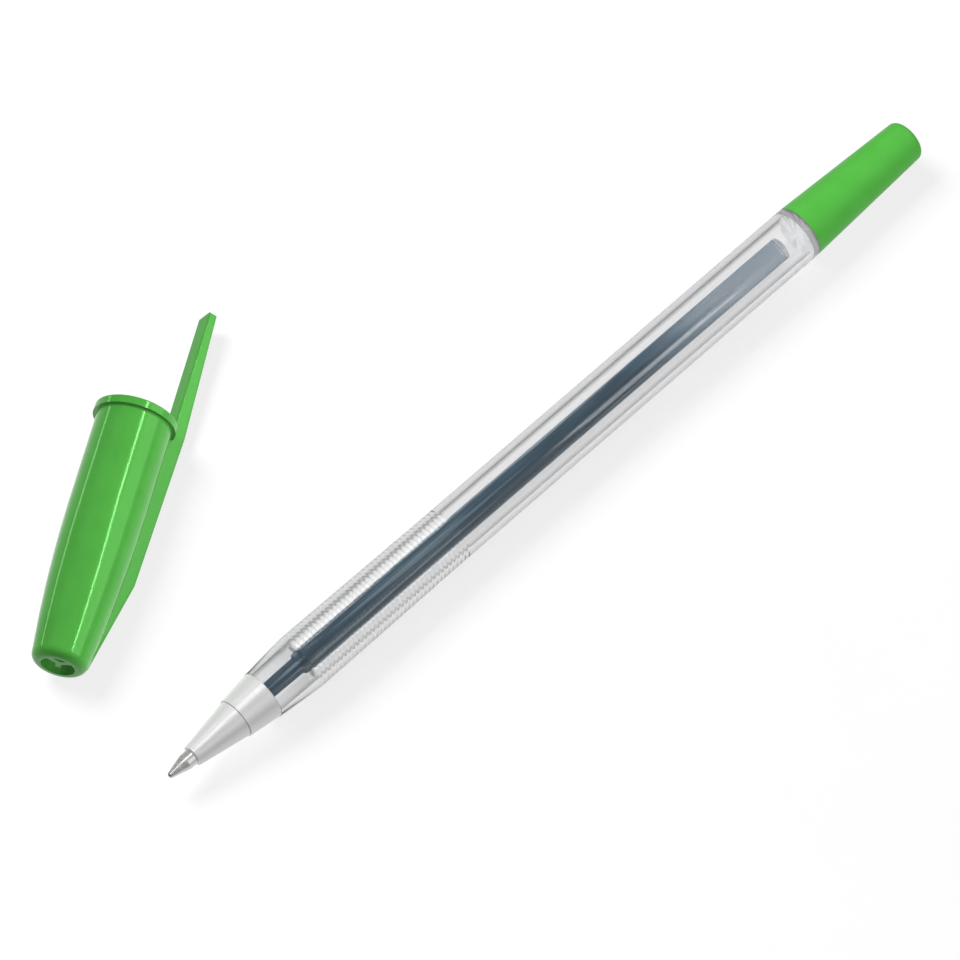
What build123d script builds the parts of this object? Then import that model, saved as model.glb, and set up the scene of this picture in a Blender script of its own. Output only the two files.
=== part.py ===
from build123d import *
import os
from math import asin, atan, atan2, cos, hypot, radians, sin, sqrt

# Stick ballpoint pen lying on a table, with its push-on cap off beside it.
# Millimetres. The pen lies along X with its writing point towards -X, and +Z is up.
# The origin is on the pen's axis, at the middle of the barrel's straight stretch.

# Barrel: clear tube with a tapered front, a ringed grip, a closed rear end and a peg behind it
barrel_diameter = 8.0
barrel_wall = 0.9
straight_length = 66.75
grip_length = 27.5
grip_rise = 0.18
ring_count = 37
ring_depth = 0.07
front_taper_length = 6.9
rim_wall = 0.48
rear_wall = 0.9
peg_length = 7.0
peg_diameter = 3.0

# Rear plug: tapered piece pushed over the barrel's peg
plug_length = 21.55
plug_rear_diameter = 6.1
plug_edge_radius = 0.9
plug_fit = 0.02

# Collar and cone of the nose
collar_length = 4.85
collar_front_diameter = 5.9
collar_step = 0.05
cone_length = 7.8
cone_lip = 0.38
cone_wall = 0.42
cone_edge_radius = 0.15
seam_step = 0.15
seam_gap = 0.06

# Writing point, ball and the feed of ink between them
ball_diameter = 0.8
ball_reach = 0.25
ball_clearance = 0.02
tip_diameter = 2.3
tip_cone_length = 2.7
tip_stem_length = 1.25
lip_wall = 0.04
feed_diameter = 0.5
feed_length = 0.8
tip_bore_diameter = 1.2

# Holder behind the point: stem, plug that fits the barrel's bore, and socket for the tube
stem_reach = 3.5
tip_socket_depth = 4.0
holder_plug_length = 6.8
holder_clearance = 0.03
channel_diameter = 1.4
channel_flare = 0.4
tube_socket_depth = 0.85
press_gap = 0.01

# Ink tube and ink
tube_diameter = 3.4
tube_wall = 0.5
tube_end_gap = 2.9
ink_headroom = 17.3

# Cap: round body, rim at its mouth, vented closed end and a clip along one side
cap_length = 38.4
cap_wall = 0.97
cap_end_diameter = 7.45
cap_curve_length = 24.0
cap_edge_radius = 1.2
cap_rim_height = 0.53
cap_rim_thickness = 1.2
cap_rim_edge = 0.25
cap_land_length = 11.5
cap_land_clearance = 0.07
cap_seat_length = 3.5
cap_bore_wall = 0.85
cap_end_wall = 1.7
cap_end_taper = 5.7
vent_rim = 1.4
vent_hub_diameter = 1.0
vent_web = 0.75
vent_recess = 0.5
vent_count = 3
vent_turn = 60
clip_width = 2.6
clip_root = 1.2
clip_ramp_length = 14.2
clip_ramp_rise = 1.63
clip_rise = 2.28
clip_edge_radius = 0.35
tongue_length = 19.1
tongue_lift = 0.1
tongue_tip_thickness = 1.3
tongue_end_slant = 0.8

# Where the cap lies: its closed end from the ball's front, along and across the pen, and its heading
cap_along = 0.6
cap_across = 21.8
cap_heading = 31.2

# Radii and stations of the barrel, with X running from the writing point to the rear
barrel_radius = barrel_diameter / 2
bore_radius = barrel_radius - barrel_wall
grip_radius = barrel_radius + grip_rise
rim_radius = bore_radius + rim_wall
straight_start = -straight_length / 2
barrel_rear = straight_length / 2
grip_start = straight_start - grip_length
barrel_front = grip_start - front_taper_length
bore_end = barrel_rear - rear_wall
peg_radius = peg_diameter / 2
peg_end = barrel_rear + peg_length
plug_end = barrel_rear + plug_length
ring_pitch = grip_length / ring_count

# Stations of the nose, counted forward from the barrel's front rim
collar_front = barrel_front - collar_length
cone_rear = collar_front - seam_gap
cone_front = cone_rear - cone_length
tip_cone_end = cone_front - tip_stem_length
lip_front = tip_cone_end - tip_cone_length
ball_front = lip_front - ball_reach
ball_radius = ball_diameter / 2
ball_centre = ball_front + ball_radius
socket_radius = ball_radius + ball_clearance
tip_radius = tip_diameter / 2
lip_bore_radius = sqrt(socket_radius**2 - (ball_centre - lip_front) ** 2)
collar_rear_radius = rim_radius - collar_step
cone_rear_radius = collar_front_diameter / 2 - seam_step
cone_front_radius = tip_radius + cone_lip

# Stations of the holder, the tube and the ink
stem_front = cone_rear - stem_reach
cone_slope = (cone_rear_radius - cone_front_radius) / cone_length
stem_radius = cone_front_radius + cone_slope * (stem_front - cone_front) - cone_wall
tip_rear = stem_front + tip_socket_depth
holder_rear = barrel_front + holder_plug_length
tube_front = holder_rear - tube_socket_depth
flare_front = tube_front - channel_flare
channel_radius = channel_diameter / 2
tube_rear = bore_end - tube_end_gap
tube_radius = tube_diameter / 2
tube_bore_radius = tube_radius - tube_wall
ink_rear = tube_rear - ink_headroom
feed_radius = feed_diameter / 2
feed_front = ball_centre + sqrt(socket_radius**2 - feed_radius**2)
tip_bore_front = feed_front + feed_length

# Cap sizes along its own axis, from the closed end to the mouth
land_radius = grip_radius + cap_land_clearance
cap_radius = land_radius + cap_wall
cap_end_radius = cap_end_diameter / 2
cap_rim_radius = cap_radius + cap_rim_height
cap_rim_back = cap_length - cap_rim_thickness
land_start = cap_length - cap_land_length
seat_start = land_start - cap_seat_length
bore_start = cap_end_wall + cap_end_taper
vent_radius = cap_end_radius - vent_rim
clip_height = cap_radius + clip_rise
tongue_inside = cap_radius + tongue_lift
tongue_end = cap_length + tongue_length
slant_start = tongue_end - tongue_end_slant
curve_drop = cap_radius - cap_end_radius
curve_radius = (cap_curve_length**2 + curve_drop**2) / (2 * curve_drop)


def cap_outside(station):
    """Outer radius of the cap's round body at a distance from its closed end."""
    back = max(cap_curve_length - station, 0)
    return cap_radius - curve_radius + sqrt(curve_radius**2 - back**2)


inner_bore_radius = cap_outside(bore_start) - cap_bore_wall
end_bore_radius = cap_outside(cap_end_wall) - cap_bore_wall

# The cap lies on its rim and on the swell of its body, so its mouth is tipped up a little,
# and it has rolled until the clip's edge meets the table
table_height = -grip_radius
straight_run = cap_rim_back - cap_curve_length
cap_slope = (sqrt(straight_run**2 + 2 * curve_radius * cap_rim_height) - straight_run) / curve_radius
cap_tilt = atan(cap_slope)
cap_end_height = table_height + cap_rim_radius * cos(cap_tilt) - cap_rim_back * sin(cap_tilt)
mouth_height = cap_rim_radius * cos(cap_tilt) + cap_rim_thickness * sin(cap_tilt)
clip_corner = hypot(clip_height, clip_width / 2)
cap_roll = asin(mouth_height / clip_corner) - atan2(clip_width / 2, clip_height)

heading = radians(cap_heading)
cap_axis = Vector(cos(heading) * cos(cap_tilt), sin(heading) * cos(cap_tilt), sin(cap_tilt))
level_side = Vector(sin(heading), -cos(heading), 0)
cap_up = level_side.cross(cap_axis)
clip_direction = level_side * cos(cap_roll) - cap_up * sin(cap_roll)
cap_plane = Plane(
    origin=(ball_front + cap_along, cap_across, cap_end_height),
    x_dir=cap_axis,
    z_dir=cap_axis.cross(clip_direction),
)
cap_line = Axis(cap_plane.origin, cap_plane.x_dir)
clip_face_plane = Plane(origin=cap_plane.origin, x_dir=cap_axis, z_dir=clip_direction)
cap_end_plane = Plane(origin=cap_plane.origin, x_dir=clip_direction, z_dir=cap_axis)


def grip_line(station):
    """Radius of the ring crests along the grip, which narrows towards the rear."""
    share = (station - grip_start) / grip_length
    return grip_radius + (barrel_radius - grip_radius) * share


# Barrel with the rings of its grip, its bore and its peg
with BuildPart() as barrel:
    with BuildSketch(Plane.XZ):
        with BuildLine():
            Polyline((barrel_front, bore_radius), (barrel_front, rim_radius), (grip_start, grip_radius))
            for ring in range(ring_count):
                ring_front = grip_start + ring * ring_pitch
                ring_middle = ring_front + ring_pitch / 2
                ring_back = ring_front + ring_pitch
                ThreePointArc(
                    (ring_front, grip_line(ring_front)),
                    (ring_middle, grip_line(ring_middle) - ring_depth),
                    (ring_back, grip_line(ring_back)),
                )
            Polyline(
                (straight_start, barrel_radius),
                (barrel_rear, barrel_radius),
                (barrel_rear, peg_radius),
                (peg_end, peg_radius),
                (peg_end, 0),
                (bore_end, 0),
                (bore_end, bore_radius),
                (barrel_front, bore_radius),
            )
        make_face()
    revolve(axis=Axis.X)

# Rear plug, flush with the barrel at its front
socket_end = peg_end + plug_fit
socket_bore = peg_radius + plug_fit
with BuildPart() as rear_plug:
    with BuildSketch(Plane.XZ):
        with BuildLine():
            Polyline(
                (barrel_rear, socket_bore),
                (barrel_rear, barrel_radius),
                (plug_end, plug_rear_diameter / 2),
                (plug_end, 0),
                (socket_end, 0),
                (socket_end, socket_bore),
                close=True,
            )
        make_face()
    revolve(axis=Axis.X)
    fillet(rear_plug.edges().sort_by(Axis.X)[-1], plug_edge_radius)

# Collar between the barrel's rim and the cone, around the holder's stem
with BuildPart() as nose_collar:
    with BuildSketch(Plane.XZ):
        with BuildLine():
            Polyline(
                (collar_front, stem_radius + press_gap),
                (collar_front, collar_front_diameter / 2),
                (barrel_front, collar_rear_radius),
                (barrel_front, stem_radius + press_gap),
                close=True,
            )
        make_face()
    revolve(axis=Axis.X)

# Cone around the point, bored for the point's stem and the holder's stem
with BuildPart() as nose_cone:
    with BuildSketch(Plane.XZ):
        with BuildLine():
            Polyline(
                (cone_front, tip_radius + press_gap),
                (cone_front, cone_front_radius),
                (cone_rear, cone_rear_radius),
                (cone_rear, stem_radius + press_gap),
                (stem_front, stem_radius + press_gap),
                (stem_front, tip_radius + press_gap),
                close=True,
            )
        make_face()
    revolve(axis=Axis.X)
    fillet(nose_cone.edges().group_by(Axis.X)[0].sort_by(SortBy.RADIUS)[-1], cone_edge_radius)

# Turned point with the socket that holds the ball, its feed hole and its ink bore
with BuildPart() as point_tip:
    with BuildSketch(Plane.XZ):
        with BuildLine():
            Polyline(
                (lip_front, lip_bore_radius),
                (lip_front, lip_bore_radius + lip_wall),
                (tip_cone_end, tip_radius),
                (tip_rear, tip_radius),
                (tip_rear, tip_bore_diameter / 2),
                (tip_bore_front, tip_bore_diameter / 2),
                (tip_bore_front, feed_radius),
                (feed_front, feed_radius),
            )
            ThreePointArc(
                (feed_front, feed_radius),
                (ball_centre + socket_radius * sin(radians(45)), socket_radius * cos(radians(45))),
                (lip_front, lip_bore_radius),
            )
        make_face()
    revolve(axis=Axis.X)

# Ball of the writing point
with BuildPart() as writing_ball:
    with Locations((ball_centre, 0, 0)):
        Sphere(ball_radius)

# Clear holder: stem in the nose, plug in the barrel's bore, and a socket for the tube behind its channel
holder_radius = bore_radius - holder_clearance
with BuildPart() as point_holder:
    with BuildSketch(Plane.XZ):
        with BuildLine():
            Polyline(
                (stem_front, tip_radius + press_gap),
                (stem_front, stem_radius),
                (barrel_front, stem_radius),
                (barrel_front, holder_radius),
                (holder_rear, holder_radius),
                (holder_rear, tube_radius + press_gap),
                (tube_front, tube_radius + press_gap),
                (tube_front, tube_bore_radius),
                (flare_front, channel_radius),
                (tip_rear, channel_radius),
                (tip_rear, tip_radius + press_gap),
                close=True,
            )
        make_face()
    revolve(axis=Axis.X)

# Ink tube pushed into the holder's socket
with BuildPart() as ink_tube:
    with BuildSketch(Plane.XZ):
        with BuildLine():
            Polyline(
                (tube_front, tube_bore_radius),
                (tube_front, tube_radius),
                (tube_rear, tube_radius),
                (tube_rear, tube_bore_radius),
                close=True,
            )
        make_face()
    revolve(axis=Axis.X)

# Ink from the point's bore, through the holder's channel, to its end in the tube
with BuildPart() as ink_column:
    with BuildSketch(Plane.XZ):
        with BuildLine():
            Polyline(
                (tip_bore_front, 0),
                (tip_bore_front, tip_bore_diameter / 2 - press_gap),
                (tip_rear, tip_bore_diameter / 2 - press_gap),
                (tip_rear, channel_radius - press_gap),
                (flare_front, channel_radius - press_gap),
                (tube_front, tube_bore_radius - press_gap),
                (ink_rear, tube_bore_radius - press_gap),
                (ink_rear, 0),
                close=True,
            )
        make_face()
    revolve(axis=Axis.X)

# Clip: a rib that rises along the cap's side and runs on past the mouth as a free tongue
rib_foot = cap_radius - cap_wall / 2
with BuildPart() as clip_rib:
    with BuildSketch(cap_plane):
        with BuildLine():
            Polyline(
                (clip_root, cap_outside(clip_root) - cap_bore_wall),
                (clip_root, cap_outside(clip_root)),
                (clip_root + clip_ramp_length, cap_radius + clip_ramp_rise),
                (cap_length, clip_height),
                (tongue_end, tongue_inside + tongue_tip_thickness),
                (tongue_end, tongue_inside),
                (cap_length, tongue_inside),
                (cap_rim_back, rib_foot),
                (cap_curve_length, rib_foot),
                close=True,
            )
        make_face()
    extrude(amount=clip_width / 2, both=True)
    fillet(clip_rib.faces().filter_by(cap_plane).edges(), clip_edge_radius)
    with BuildSketch(clip_face_plane):
        with BuildLine():
            Polyline(
                (tongue_end, clip_width / 2),
                (slant_start, -clip_width / 2),
                (tongue_end, -clip_width / 2),
                close=True,
            )
        make_face()
    extrude(amount=clip_height, mode=Mode.SUBTRACT)

# Cap: round body with its rim and clip, then its bore and its vents
with BuildPart() as cap:
    with BuildSketch(cap_plane):
        with BuildLine():
            Line((0, 0), (0, cap_end_radius))
            ThreePointArc(
                (0, cap_end_radius),
                (cap_curve_length / 2, cap_outside(cap_curve_length / 2)),
                (cap_curve_length, cap_radius),
            )
            Polyline(
                (cap_curve_length, cap_radius),
                (cap_rim_back, cap_radius),
                (cap_rim_back, cap_rim_radius),
                (cap_length, cap_rim_radius),
                (cap_length, 0),
                (0, 0),
            )
        make_face()
    revolve(axis=cap_line)
    fillet(cap.edges().sort_by(cap_line)[0], cap_edge_radius)
    fillet(cap.edges().filter_by(GeomType.CIRCLE).sort_by(SortBy.RADIUS)[-2:], cap_rim_edge)
    add(clip_rib.part)

    with BuildSketch(cap_plane):
        with BuildLine():
            Polyline(
                (cap_end_wall, 0),
                (cap_end_wall, end_bore_radius),
                (bore_start, inner_bore_radius),
                (seat_start, inner_bore_radius),
                (land_start, land_radius),
                (cap_length, land_radius),
                (cap_length, 0),
                close=True,
            )
        make_face()
    revolve(axis=cap_line, mode=Mode.SUBTRACT)

    with BuildSketch(cap_end_plane):
        Circle(vent_radius)
    extrude(amount=vent_recess, mode=Mode.SUBTRACT)
    with BuildSketch(cap_end_plane):
        Circle(vent_radius)
        Circle(vent_hub_diameter / 2, mode=Mode.SUBTRACT)
        with PolarLocations(vent_radius / 2, vent_count, start_angle=vent_turn):
            Rectangle(vent_radius, vent_web, mode=Mode.SUBTRACT)
    extrude(amount=cap_end_wall, mode=Mode.SUBTRACT)

pieces = {
    "barrel": barrel,
    "rear_plug": rear_plug,
    "nose_collar": nose_collar,
    "nose_cone": nose_cone,
    "point_tip": point_tip,
    "writing_ball": writing_ball,
    "point_holder": point_holder,
    "ink_tube": ink_tube,
    "ink_column": ink_column,
    "cap": cap,
}
os.makedirs("parts", exist_ok=True)
for piece_name, piece in pieces.items():
    piece.part.label = piece_name
    export_step(piece.part, f"parts/{piece_name}.step")
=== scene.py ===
from math import cos, pi, radians, sin, sqrt, tan

import bmesh
import bpy
from mathutils import Matrix, Vector


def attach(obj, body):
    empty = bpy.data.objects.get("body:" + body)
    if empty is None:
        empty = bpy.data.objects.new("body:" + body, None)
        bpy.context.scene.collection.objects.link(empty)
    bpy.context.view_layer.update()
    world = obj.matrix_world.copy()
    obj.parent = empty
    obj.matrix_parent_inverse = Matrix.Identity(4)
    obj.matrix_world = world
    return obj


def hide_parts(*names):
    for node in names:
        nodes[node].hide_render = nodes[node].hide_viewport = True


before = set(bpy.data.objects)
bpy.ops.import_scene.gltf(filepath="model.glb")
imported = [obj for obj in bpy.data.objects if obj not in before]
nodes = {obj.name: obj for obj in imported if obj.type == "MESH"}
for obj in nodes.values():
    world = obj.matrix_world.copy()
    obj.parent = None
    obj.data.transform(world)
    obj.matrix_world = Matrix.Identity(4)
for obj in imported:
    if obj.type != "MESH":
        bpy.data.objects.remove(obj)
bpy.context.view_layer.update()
scene = bpy.context.scene

MM = 0.001

# Sizes in millimetres, along the pen's axis from its middle and out from it
BARREL_FRONT = -67.775
GRIP_START = -60.875
STRAIGHT_START = -33.375
GRIP_SHADING_END = STRAIGHT_START + 0.2
BORE_END = 32.475
BARREL_REAR = 33.375
RIM_RADIUS = 3.58
GRIP_RADIUS = 4.18
BARREL_RADIUS = 4.0
BORE_RADIUS = 3.1
RING_COUNT = 37
RING_DEPTH = 0.016
BORE_RING_DEPTH = 0.037
STEM_FRONT = -76.185
STEM_RADIUS = 1.811
HOLDER_REAR = -60.975
TIP_REAR = -72.185
CHANNEL_RADIUS = 0.7
TUBE_FRONT = -61.825
TUBE_REAR = 29.575
TUBE_RADIUS = 1.7
TUBE_BORE_RADIUS = 1.2
TUBE_BEVEL = 0.1
INK_REAR = TUBE_REAR - 0.3
INK_DOME = 0.1
TABLE = -4.18

# Air between the barrel and its neighbours, so that light bends on each wall
REAR_GAP = 0.02
HOLDER_GAP = 0.03
REAR_FACE = BARREL_REAR - REAR_GAP
REAR_BEVEL = 0.03

# How far the tube's front face is let into the holder
TUBE_LAP = 0.02

# The cap's round body: its closed end's centre, its axis, its outline and the stations where it is round
CAP_END = Vector((-84.085, 21.8, 0.361))
CAP_HEADING = radians(31.2)
CAP_TILT = radians(1.858)
CAP_RADIUS = 5.22
CAP_CURVE = 24.0
CAP_CURVE_RADIUS = 193.39
CAP_ROUND_FRONT = 1.0
CAP_ROUND_BACK = 37.25
CAP_TOLERANCE = 0.02

# Steps of the turned pieces, the angle that makes an edge sharp, and a flat face's tolerance in metres
TURN_STEPS = 128
RING_STEPS = 10
SHARP_ANGLE = radians(25)
FLAT = 1e-7

# Most of a noise lies between these values
NOISE_LOW = 0.3
NOISE_HIGH = 0.7


def node(tree, kind, inputs=None, **settings):
    """Adds a shader node; an input is either a value or a socket to link."""
    made = tree.nodes.new("ShaderNode" + kind)
    for key, value in settings.items():
        setattr(made, key, value)
    for key, value in (inputs or {}).items():
        if isinstance(value, bpy.types.NodeSocket):
            tree.links.new(value, made.inputs[key])
        else:
            made.inputs[key].default_value = value
    return made


def feed(shader, **sources):
    """Links sockets to a shader's inputs."""
    for key, source in sources.items():
        shader.id_data.links.new(source, shader.inputs[key.replace("_", " ")])


def material(name, **constants):
    """A material with a Principled shader, its constant values set on the shader's own sockets."""
    made = bpy.data.materials.new(name)
    made.use_nodes = True
    shader = made.node_tree.nodes["Principled BSDF"]
    for key, value in constants.items():
        shader.inputs[key.replace("_", " ")].default_value = value
    return made, made.node_tree, shader


def grey(level):
    return (level, level, level)


def own_place(tree):
    """A spot's place in the piece's own coordinates."""
    return node(tree, "TexCoord").outputs["Object"]


def axes(tree, spot):
    """The X, Y and Z of a place or a direction."""
    return node(tree, "SeparateXYZ", {"Vector": spot}).outputs


def across(tree):
    """The way out from the pen's axis to a spot."""
    spot = axes(tree, own_place(tree))
    return node(tree, "CombineXYZ", {"Y": spot["Y"], "Z": spot["Z"]}).outputs["Vector"]


def noise(tree, scale, stretch=(1, 1, 1), detail=3.0):
    """Noise in the piece's own coordinates; stretch scales each axis, scale is in cells per metre."""
    stretched = node(tree, "Mapping", {"Vector": own_place(tree), "Scale": stretch}).outputs["Vector"]
    cells = {"Vector": stretched, "Scale": scale, "Detail": detail, "Roughness": 0.55}
    return node(tree, "TexNoise", cells).outputs["Fac"]


def ramp(tree, fac, stops):
    """Colours at positions from 0 to 1."""
    made = node(tree, "ValToRGB", {"Fac": fac})
    band = made.color_ramp
    while len(band.elements) < len(stops):
        band.elements.new(0.5)
    for element, (position, colour) in zip(band.elements, stops):
        element.position = position
        element.color = (*colour, 1)
    return made.outputs["Color"]


def mottled(tree, fac, dark, light):
    """Two colours mixed by a noise."""
    return ramp(tree, fac, [(NOISE_LOW, dark), (NOISE_HIGH, light)])


def mapped(tree, value, low, high, from_low=NOISE_LOW, from_high=NOISE_HIGH):
    """Maps one span of values onto another."""
    spans = {"Value": value, "From Min": from_low, "From Max": from_high, "To Min": low, "To Max": high}
    return node(tree, "MapRange", spans).outputs["Result"]


def calc(tree, operation, first, second, **settings):
    """One sum with two values."""
    return node(tree, "Math", {0: first, 1: second}, operation=operation, **settings).outputs["Value"]


def facing(tree, blend=0.5):
    """How far a surface is turned towards being looked along."""
    return node(tree, "LayerWeight", {"Blend": blend}).outputs["Facing"]


def surfaced(shader, colour_noise, colours, gloss_noise, gloss, relief_noise, depth):
    """Gives a shader uneven colour, uneven gloss and a fine relief of some depth in metres."""
    tree = shader.id_data
    relief = node(tree, "Bump", {"Height": relief_noise, "Distance": depth})
    feed(
        shader,
        Base_Color=mottled(tree, colour_noise, *colours),
        Roughness=mapped(tree, gloss_noise, *gloss),
        Normal=relief.outputs["Normal"],
    )


def plastic(name, colours, gloss, depth, **constants):
    """Moulded plastic: slightly mottled colour, uneven gloss and a fine surface grain."""
    made, tree, shader = material(name, **constants)
    mottle, sheen, grain = noise(tree, 260, detail=4), noise(tree, 900, detail=5), noise(tree, 2600)
    surfaced(shader, mottle, colours, sheen, gloss, grain, depth)
    return made


def clear(name, colours, gloss, depth, **constants):
    """Clear moulding: faint tint, gloss that varies a little and fine lines drawn along the piece."""
    made, tree, shader = material(name, Transmission_Weight=1.0, **constants)
    drawn = (0.04, 1, 1)
    tint, sheen, lines = noise(tree, 700, drawn), noise(tree, 1200), noise(tree, 900, drawn, 2.0)
    surfaced(shader, tint, colours, sheen, gloss, lines, depth)
    return made


def metal(name, colours, gloss, depth, metallic=1.0):
    """Plated or turned metal, or silver paint, with fine marks round its axis."""
    made, tree, shader = material(name, Metallic=metallic)
    marks, sheen = noise(tree, 2200, (1, 0.06, 0.06), 4.0), noise(tree, 1500, (1, 0.2, 0.2))
    surfaced(shader, marks, colours, sheen, gloss, marks, depth)
    return made


def tinted(finish, colour, density):
    """Lets a clear piece take up a little light inside."""
    tree = finish.node_tree
    inside = node(tree, "VolumeAbsorption", {"Color": (*colour, 1), "Density": density})
    feed(tree.nodes["Material Output"], Volume=inside.outputs["Volume"])


# Light that a wall lets through when faced and when looked along, and the span of facing between; the dimming
# where a wall is looked along is partly haze and partly painted shade
BORE_HAZE_AND_SHADE = (1.0, 0.02, 0.42, 0.82)
OUTER_HAZE_AND_SHADE = (1.0, 0.20, 0.50, 0.95)

# Shares of the bore's radius between which the dimming of the bore gives way to that of the outside
HAZE_AND_SHADE_CHANGE = (1.05, 1.10)


def hazed_with_painted_shade(finish, radius):
    """Dims a clear tube's tint where a wall is looked along, most of it on its bore: partly a thin haze,
    partly painted shade that draws dark lines at the bore's edges and greyer bands at the outside.
    """
    tree = finish.node_tree
    shader = tree.nodes["Principled BSDF"]
    distance = node(tree, "VectorMath", {0: across(tree)}, operation="LENGTH").outputs["Value"]
    outside = mapped(tree, distance, 0.0, 1.0, *(share * radius * MM for share in HAZE_AND_SHADE_CHANGE))
    turned = facing(tree)
    walls = {0: outside, 2: mapped(tree, turned, *BORE_HAZE_AND_SHADE), 3: mapped(tree, turned, *OUTER_HAZE_AND_SHADE)}
    passed = node(tree, "Mix", walls).outputs[0]
    tint = shader.inputs["Base Color"].links[0].from_socket
    veiled_and_shaded = node(tree, "VectorMath", {0: tint, "Scale": passed}, operation="SCALE")
    feed(shader, Base_Color=veiled_and_shaded.outputs["Vector"])


def streaked(name, dark, light, **constants):
    """A matt face across the barrel's rear, streaked out from its middle; given an emission strength it glows
    in its streaked colour, which is painted light.
    """
    made, tree, shader = material(name, Roughness=0.6, IOR=1.5, **constants)
    ray = node(tree, "VectorMath", {0: across(tree)}, operation="NORMALIZE").outputs["Vector"]
    streaks = node(tree, "TexNoise", {"Vector": ray, "Scale": 5.0, "Detail": 3.0}).outputs["Fac"]
    shade = ramp(tree, streaks, [(0.35, dark), (0.65, light)])
    # The streaked colour is also the glow colour: where a strength is given, the face glows though it is no
    # lamp, which is painted light
    feed(shader, Base_Color=shade, Emission_Color=shade)
    return made


# Ink: its tones, the palest of them painted highlights streaked along it, the stations in millimetres between
# which it thins, and how far streaks shift the thinning.
# Between two shares of thinning, full ink turns into a film that covers a part of what is behind it.
INK_TONES_AND_PAINTED_HIGHLIGHTS = [(0.35, (0.13, 0.24, 0.34)), (0.52, (0.16, 0.29, 0.40)), (0.60, (0.55, 0.74, 0.86))]
INK_THINS = (-10.0, 22.0)
INK_STREAK = 0.35
FILM_SHARES = (0.25, 0.9)
FILM_SHADE = (0.22, 0.56, 0.84, 1)
FILM_COVER = 0.37

# The ink's edge covers what is behind it: the blend of its facing, and a power that narrows it
INK_EDGE_BLEND = 0.6
INK_EDGE_POWER = 1.5

# The ink ends in an open ring: stations between which it fades out
INK_FADES = (INK_REAR - 0.02, INK_REAR + 0.01)


def paste(name):
    """Ink: full in the front, thinning to streaks and a film towards the rear of the tube."""
    made, tree, shader = material(name, Roughness=0.6, IOR=1.01, Specular_IOR_Level=0.0)
    station = axes(tree, own_place(tree))["X"]
    thinning = mapped(tree, station, 0.0, 1.0, *(end * MM for end in INK_THINS))
    streak = mapped(tree, noise(tree, 700, (0.03, 1, 1), 2.0), -INK_STREAK, INK_STREAK)
    share = calc(tree, "ADD", thinning, streak)
    # Pale streaks along the ink are painted highlights
    tones_and_highlights = ramp(tree, noise(tree, 1500, (0.012, 1, 1)), INK_TONES_AND_PAINTED_HIGHLIGHTS)
    tones = {0: mapped(tree, share, 0.0, 1.0, *FILM_SHARES), 6: tones_and_highlights, 7: FILM_SHADE}
    cover = mapped(tree, share, 1.0, FILM_COVER, *FILM_SHARES)
    edge = calc(tree, "POWER", facing(tree, INK_EDGE_BLEND), INK_EDGE_POWER)
    wall = calc(tree, "MAXIMUM", cover, edge, use_clamp=True)
    ring = mapped(tree, station, 1.0, 0.0, *(end * MM for end in INK_FADES))
    feed(
        shader,
        Base_Color=node(tree, "Mix", tones, data_type="RGBA").outputs[2],
        Alpha=calc(tree, "MULTIPLY", wall, ring),
    )
    return made


# The floor's glow when faced and when looked along, and the span of facing between
FLOOR_GLOW = (0.76, 0.34, 0.25, 0.85)


def table_top(name):
    """A white table that glows a little, and less where it is looked along."""
    made, tree, shader = material(name, IOR=1.5, Roughness=0.4, Emission_Color=(1, 1, 1, 1))
    feed(
        shader,
        Base_Color=mottled(tree, noise(tree, 30), grey(0.39), grey(0.41)),
        Emission_Strength=mapped(tree, facing(tree), *FLOOR_GLOW),
    )
    return made


# Finishes: two colours, a span of roughness and the relief's depth in metres
GREEN_GLOSS = (0.38, 1.0, 0.34, 1)
green_cap = plastic(
    "green_cap", ((0.058, 0.288, 0.041), (0.064, 0.312, 0.045)), (0.10, 0.14), 4e-7,
    IOR=1.52, Specular_Tint=GREEN_GLOSS,
)
green_plug = plastic(
    "green_plug", ((0.076, 0.390, 0.051), (0.083, 0.420, 0.058)), (0.32, 0.40), 5e-6,
    IOR=1.49, Specular_Tint=GREEN_GLOSS, Specular_IOR_Level=0.12,
)
clear_barrel = clear("clear_barrel", ((0.975, 0.98, 0.985), grey(1.0)), (0.0, 0.02), 1e-6, IOR=1.5)
clear_holder = clear("clear_holder", ((0.95, 0.96, 0.965), (0.98, 0.985, 0.99)), (0.01, 0.04), 2e-6, IOR=1.5)
tube_clear = clear("tube", ((0.93, 0.95, 0.96), (0.97, 0.98, 0.985)), (0.03, 0.10), 4e-6, IOR=1.49)
tinted(clear_barrel, grey(0.5), density=130)
# Painted shade, partly haze: the barrel's tint dims where its walls are looked along
hazed_with_painted_shade(clear_barrel, BORE_RADIUS)
# The bore's closed end glows though it is no lamp: painted light that makes it look white
matt_end_painted_glow = streaked("matt_end_painted_glow", (0.55, 0.55, 0.56), grey(0.98), Emission_Strength=0.7)
matt_rear = streaked("matt_rear", grey(0.50), grey(0.80))
silver_nose = metal("silver_nose", (grey(0.75), grey(0.765)), (0.28, 0.36), 5e-7, metallic=0.25)
point_metal = metal("point_metal", (grey(0.66), (0.78, 0.77, 0.76)), (0.22, 0.32), 4e-6, metallic=0.7)
ball_metal = metal("ball_metal", ((0.42, 0.42, 0.43), (0.52, 0.52, 0.53)), (0.10, 0.18), 1e-6)
ink_paste = paste("ink")


def shown(name, data):
    """Puts a new object into the scene."""
    made = bpy.data.objects.new(name, data)
    scene.collection.objects.link(made)
    return made


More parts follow.
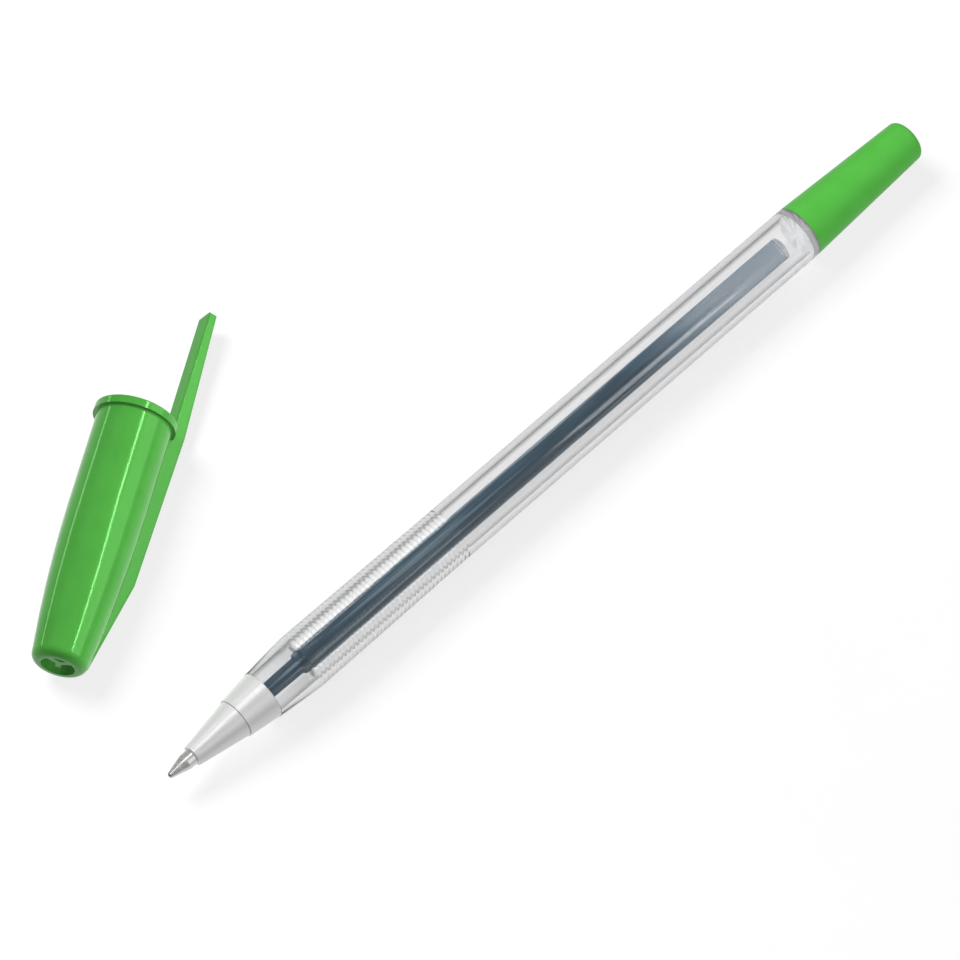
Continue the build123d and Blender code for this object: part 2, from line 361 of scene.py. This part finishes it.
def lathe(name, profile, finish):
    """A piece turned round the pen's axis from (station, radius) points in millimetres."""
    shape = bmesh.new()
    turns = [2 * pi * step / TURN_STEPS for step in range(TURN_STEPS)]
    loops = []
    for station, radius in profile:
        if radius == 0:
            loops.append([shape.verts.new((station * MM, 0, 0))] * TURN_STEPS)
        else:
            loop = [(station * MM, radius * MM * cos(turn), radius * MM * sin(turn)) for turn in turns]
            loops.append([shape.verts.new(corner) for corner in loop])
    for first, second in zip(loops, loops[1:]):
        for step in range(TURN_STEPS):
            after = (step + 1) % TURN_STEPS
            corners = [first[step], first[after], second[after], second[step]]
            shape.faces.new(list(dict.fromkeys(corners)))
    bmesh.ops.recalc_face_normals(shape, faces=shape.faces)
    for face in shape.faces:
        face.smooth = True
    for edge in shape.edges:
        edge.smooth = edge.calc_face_angle(0) < SHARP_ANGLE
    mesh = bpy.data.meshes.new(name)
    shape.to_mesh(mesh)
    shape.free()
    mesh.materials.append(finish)
    return shown(name, mesh)


def place(piece, body, slot, *replaced):
    """Ties a piece to its body and hides the solids it stands for; slot is not used."""
    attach(piece, body)
    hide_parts(*replaced)


def ringed(front_radius, rear_radius, depth):
    """The outline of the grip's wall, front to rear, with rounded rings cut into it."""
    points = []
    for step in range(RING_COUNT * RING_STEPS + 1):
        share = step / (RING_COUNT * RING_STEPS)
        radius = front_radius + (rear_radius - front_radius) * share
        groove = depth * (0.5 - 0.5 * cos(2 * pi * step / RING_STEPS))
        points.append((GRIP_START + (STRAIGHT_START - GRIP_START) * share, radius - groove))
    return points


# Clear barrel, with shallow rounded rings on its grip, most of their depth on the bore's wall
barrel = lathe(
    "clear_barrel_shell",
    [(BORE_END, 0), (BORE_END, BORE_RADIUS), (GRIP_SHADING_END, BORE_RADIUS)]
    + ringed(BORE_RADIUS, BORE_RADIUS, -BORE_RING_DEPTH)[::-1]
    + [(BARREL_FRONT, BORE_RADIUS), (BARREL_FRONT, RIM_RADIUS)]
    + ringed(GRIP_RADIUS, BARREL_RADIUS, RING_DEPTH)
    + [
        (GRIP_SHADING_END, BARREL_RADIUS),
        (REAR_FACE - REAR_BEVEL, BARREL_RADIUS),
        (REAR_FACE, BARREL_RADIUS - REAR_BEVEL),
        (REAR_FACE, 0),
    ],
    clear_barrel,
)
place(barrel, "barrel", "clear_barrel", "barrel")
for index, (station, finish) in enumerate(((BORE_END, matt_end_painted_glow), (REAR_FACE, matt_rear)), 1):
    barrel.data.materials.append(finish)
    for face in barrel.data.polygons:
        stations = [barrel.data.vertices[corner].co.x for corner in face.vertices]
        if all(abs(found - station * MM) < FLAT for found in stations):
            face.material_index = index

# Holder: a solid clear plug, its channel full of ink
holder = lathe(
    "clear_point_holder",
    [
        (STEM_FRONT, 0),
        (STEM_FRONT, STEM_RADIUS),
        (BARREL_FRONT, STEM_RADIUS),
        (BARREL_FRONT, BORE_RADIUS - HOLDER_GAP),
        (HOLDER_REAR, BORE_RADIUS - HOLDER_GAP),
        (HOLDER_REAR, 0),
    ],
    clear_holder,
)
place(holder, "refill", "clear_holder", "point_holder")

# Tube: a solid clear rod, because ink wets its bore from end to end
tube = lathe(
    "clear_ink_tube",
    [
        (HOLDER_REAR - TUBE_LAP, 0),
        (HOLDER_REAR - TUBE_LAP, TUBE_RADIUS),
        (TUBE_REAR - TUBE_BEVEL, TUBE_RADIUS),
        (TUBE_REAR, TUBE_RADIUS - TUBE_BEVEL),
        (TUBE_REAR, 0),
    ],
    tube_clear,
)
place(tube, "refill", "tube", "ink_tube")

# Ink: it widens in four steps from the holder's channel to the tube's bore
ink_widening = [
    (TUBE_FRONT - 0.1, CHANNEL_RADIUS + 0.1),
    (TUBE_FRONT + 0.2, TUBE_BORE_RADIUS - 0.2),
    (HOLDER_REAR, TUBE_BORE_RADIUS - 0.12),
    (HOLDER_REAR + 0.3, TUBE_BORE_RADIUS),
]
ink = lathe(
    "ink_in_channel_and_tube",
    [(TIP_REAR, 0), (TIP_REAR, CHANNEL_RADIUS)]
    + ink_widening
    + [(INK_REAR, TUBE_BORE_RADIUS), (INK_REAR + INK_DOME, 0)],
    ink_paste,
)
place(ink, "refill", "ink", "ink_column")


def cap_normal(spot):
    """The outward direction of the cap's round body at a spot in millimetres, or None away from it."""
    axis = Vector((cos(CAP_HEADING) * cos(CAP_TILT), sin(CAP_HEADING) * cos(CAP_TILT), sin(CAP_TILT)))
    station = (spot - CAP_END).dot(axis)
    outward = spot - CAP_END - axis * station
    back = max(CAP_CURVE - station, 0)
    drop = sqrt(CAP_CURVE_RADIUS**2 - back**2)
    radius = CAP_RADIUS - CAP_CURVE_RADIUS + drop
    if abs(outward.length - radius) > CAP_TOLERANCE or not CAP_ROUND_FRONT < station < CAP_ROUND_BACK:
        return None
    return (outward.normalized() - axis * (back / drop)).normalized()


# Cap: the CAD mesh with its round outside shaded by the true curve, so that reflections run clean along it
cap_mesh = nodes["cap"].data.copy()
cap = shown("green_cap_shell", cap_mesh)
cap.matrix_world = nodes["cap"].matrix_world
cap_mesh.materials.clear()
cap_mesh.materials.append(green_cap)
corner_normals = [corner.vector.copy() for corner in cap_mesh.corner_normals]
to_world = nodes["cap"].matrix_world
to_local = to_world.to_3x3().inverted()
for face in cap_mesh.polygons:
    turned = [cap_normal(to_world @ cap_mesh.vertices[corner].co / MM) for corner in face.vertices]
    if None not in turned:
        for corner, normal in zip(face.loop_indices, turned):
            corner_normals[corner] = to_local @ normal
cap_mesh.normals_split_custom_set(corner_normals)
place(cap, "cap", "green_cap", "cap")

# The other solids keep their CAD meshes
finishes = {
    "rear_plug": green_plug,
    "nose_collar": silver_nose,
    "nose_cone": silver_nose,
    "point_tip": point_metal,
    "writing_ball": ball_metal,
}
for name, finish in finishes.items():
    piece = nodes[name]
    piece.data.materials.clear()
    piece.data.materials.append(finish)

# The green pieces bounce no tint onto other pieces, and the cap isn't seen through clear ones
cap.visible_diffuse = False
cap.visible_transmission = False
nodes["rear_plug"].visible_diffuse = False

# Floor, a square with its reach to each side in metres
FLOOR_REACH = 3.0
floor_mesh = bpy.data.meshes.new("floor")
corners = [(x * FLOOR_REACH, y * FLOOR_REACH, TABLE * MM) for x, y in ((-1, -1), (1, -1), (1, 1), (-1, 1))]
floor_mesh.from_pydata(corners, [], [(0, 1, 2, 3)])
floor = shown("floor", floor_mesh)
floor_mesh.materials.append(table_top("white_floor"))

# Studio: distance and target are in millimetres; directions are to the camera's right, away from it, and up
VIEW_HEADING = radians(45.3)
VIEW_ELEVATION = radians(60.5)
VIEW_ANGLE = radians(9.0)
VIEW_DISTANCE = 817.46
VIEW_TARGET = Vector((-23.225, 4.7, TABLE))
SENSOR_WIDTH = 36
away = Vector((cos(VIEW_HEADING), sin(VIEW_HEADING), 0))
right = Vector((sin(VIEW_HEADING), -cos(VIEW_HEADING), 0))
up = Vector((0, 0, 1))


def stand(thing, spot, target):
    """Puts a lamp or camera at a spot and points it at a target, both in metres."""
    made = shown(thing.name, thing)
    turn = (target - spot).to_track_quat("-Z", "Y")
    made.matrix_world = Matrix.LocRotScale(spot, turn, None)
    return made


def softbox(name, spot, width, length, glow, lit, mirrored=True, along=0.0):
    """An even rectangular lamp that lights only some pieces; glow is how bright its face looks.

    Its spot and sizes are in metres. It is aimed at a spot that lies along metres behind the view's target.
    """
    lamp = bpy.data.lights.new(name, "AREA")
    lamp.shape = "RECTANGLE"
    lamp.size = width
    lamp.size_y = length
    lamp.energy = glow * pi * width * length
    centre = VIEW_TARGET * MM
    made = stand(lamp, centre + right * spot[0] + away * spot[1] + up * spot[2], centre + away * along)
    made.visible_glossy = mirrored
    group = bpy.data.collections.new(name + "_lit")
    for piece in lit:
        group.objects.link(piece)
    made.light_linking.receiver_collection = group


cap_pieces = [cap]
pen_pieces = [barrel, tube, ink]
nose_pieces = [nodes[name] for name in ("nose_collar", "nose_cone", "point_tip", "writing_ball")]
pieces = [barrel, holder, tube, ink, cap, *(nodes[name] for name in finishes)]
softbox("key", (-0.40, 0.28, 0.60), 0.36, 0.36, 11.5, pieces, mirrored=False)
softbox("floor_key", (-0.40, 0.28, 0.60), 0.36, 0.36, 9.0, [floor], mirrored=False)
softbox("cap_strip", (0.46, 0.10, 0.60), 0.77, 0.026, 36.0, cap_pieces, along=-0.27)
softbox("cap_side", (0.70, 0.15, 0.40), 0.9, 0.55, 2.0, cap_pieces, along=0.15)
softbox("cap_line", (-0.46, 0.38, 0.10), 0.40, 0.045, 5.0, cap_pieces)
softbox("cap_fill", (0.65, -0.07, 0.22), 0.3, 0.3, 11.0, cap_pieces, mirrored=False)
softbox("pen_side", (0.55, -0.25, 0.35), 0.7, 0.5, 0.6, pen_pieces, mirrored=False)
softbox("pen_strip", (0.601, -0.121, 0.60), 0.06, 0.20, 2.6, [barrel], along=0.48)
softbox("plug_top", (0.26, -0.30, 0.64), 0.6, 0.6, 4.2, [nodes["rear_plug"]])
softbox("nose_top", (-0.08, 0.03, 0.60), 0.45, 0.14, 3.2, nose_pieces, along=-0.05)
softbox("nose_side", (0.50, -0.15, 0.35), 0.7, 0.6, 1.0, nose_pieces)

world = bpy.data.worlds.new("studio")
world.use_nodes = True
sky = world.node_tree
height = axes(sky, node(sky, "TexCoord").outputs["Generated"])["Z"]
feed(sky.nodes["Background"], Color=ramp(sky, height, [(0.0, grey(0.12)), (1.0, grey(0.25))]))
scene.world = world

lens = bpy.data.cameras.new("camera")
lens.sensor_width = SENSOR_WIDTH
lens.lens = SENSOR_WIDTH / 2 / tan(VIEW_ANGLE / 2)
lens.clip_start = 0.01
sight = away * cos(VIEW_ELEVATION) - up * sin(VIEW_ELEVATION)
scene.camera = stand(lens, (VIEW_TARGET - sight * VIEW_DISTANCE) * MM, VIEW_TARGET * MM)
scene.view_settings.view_transform = "Standard"
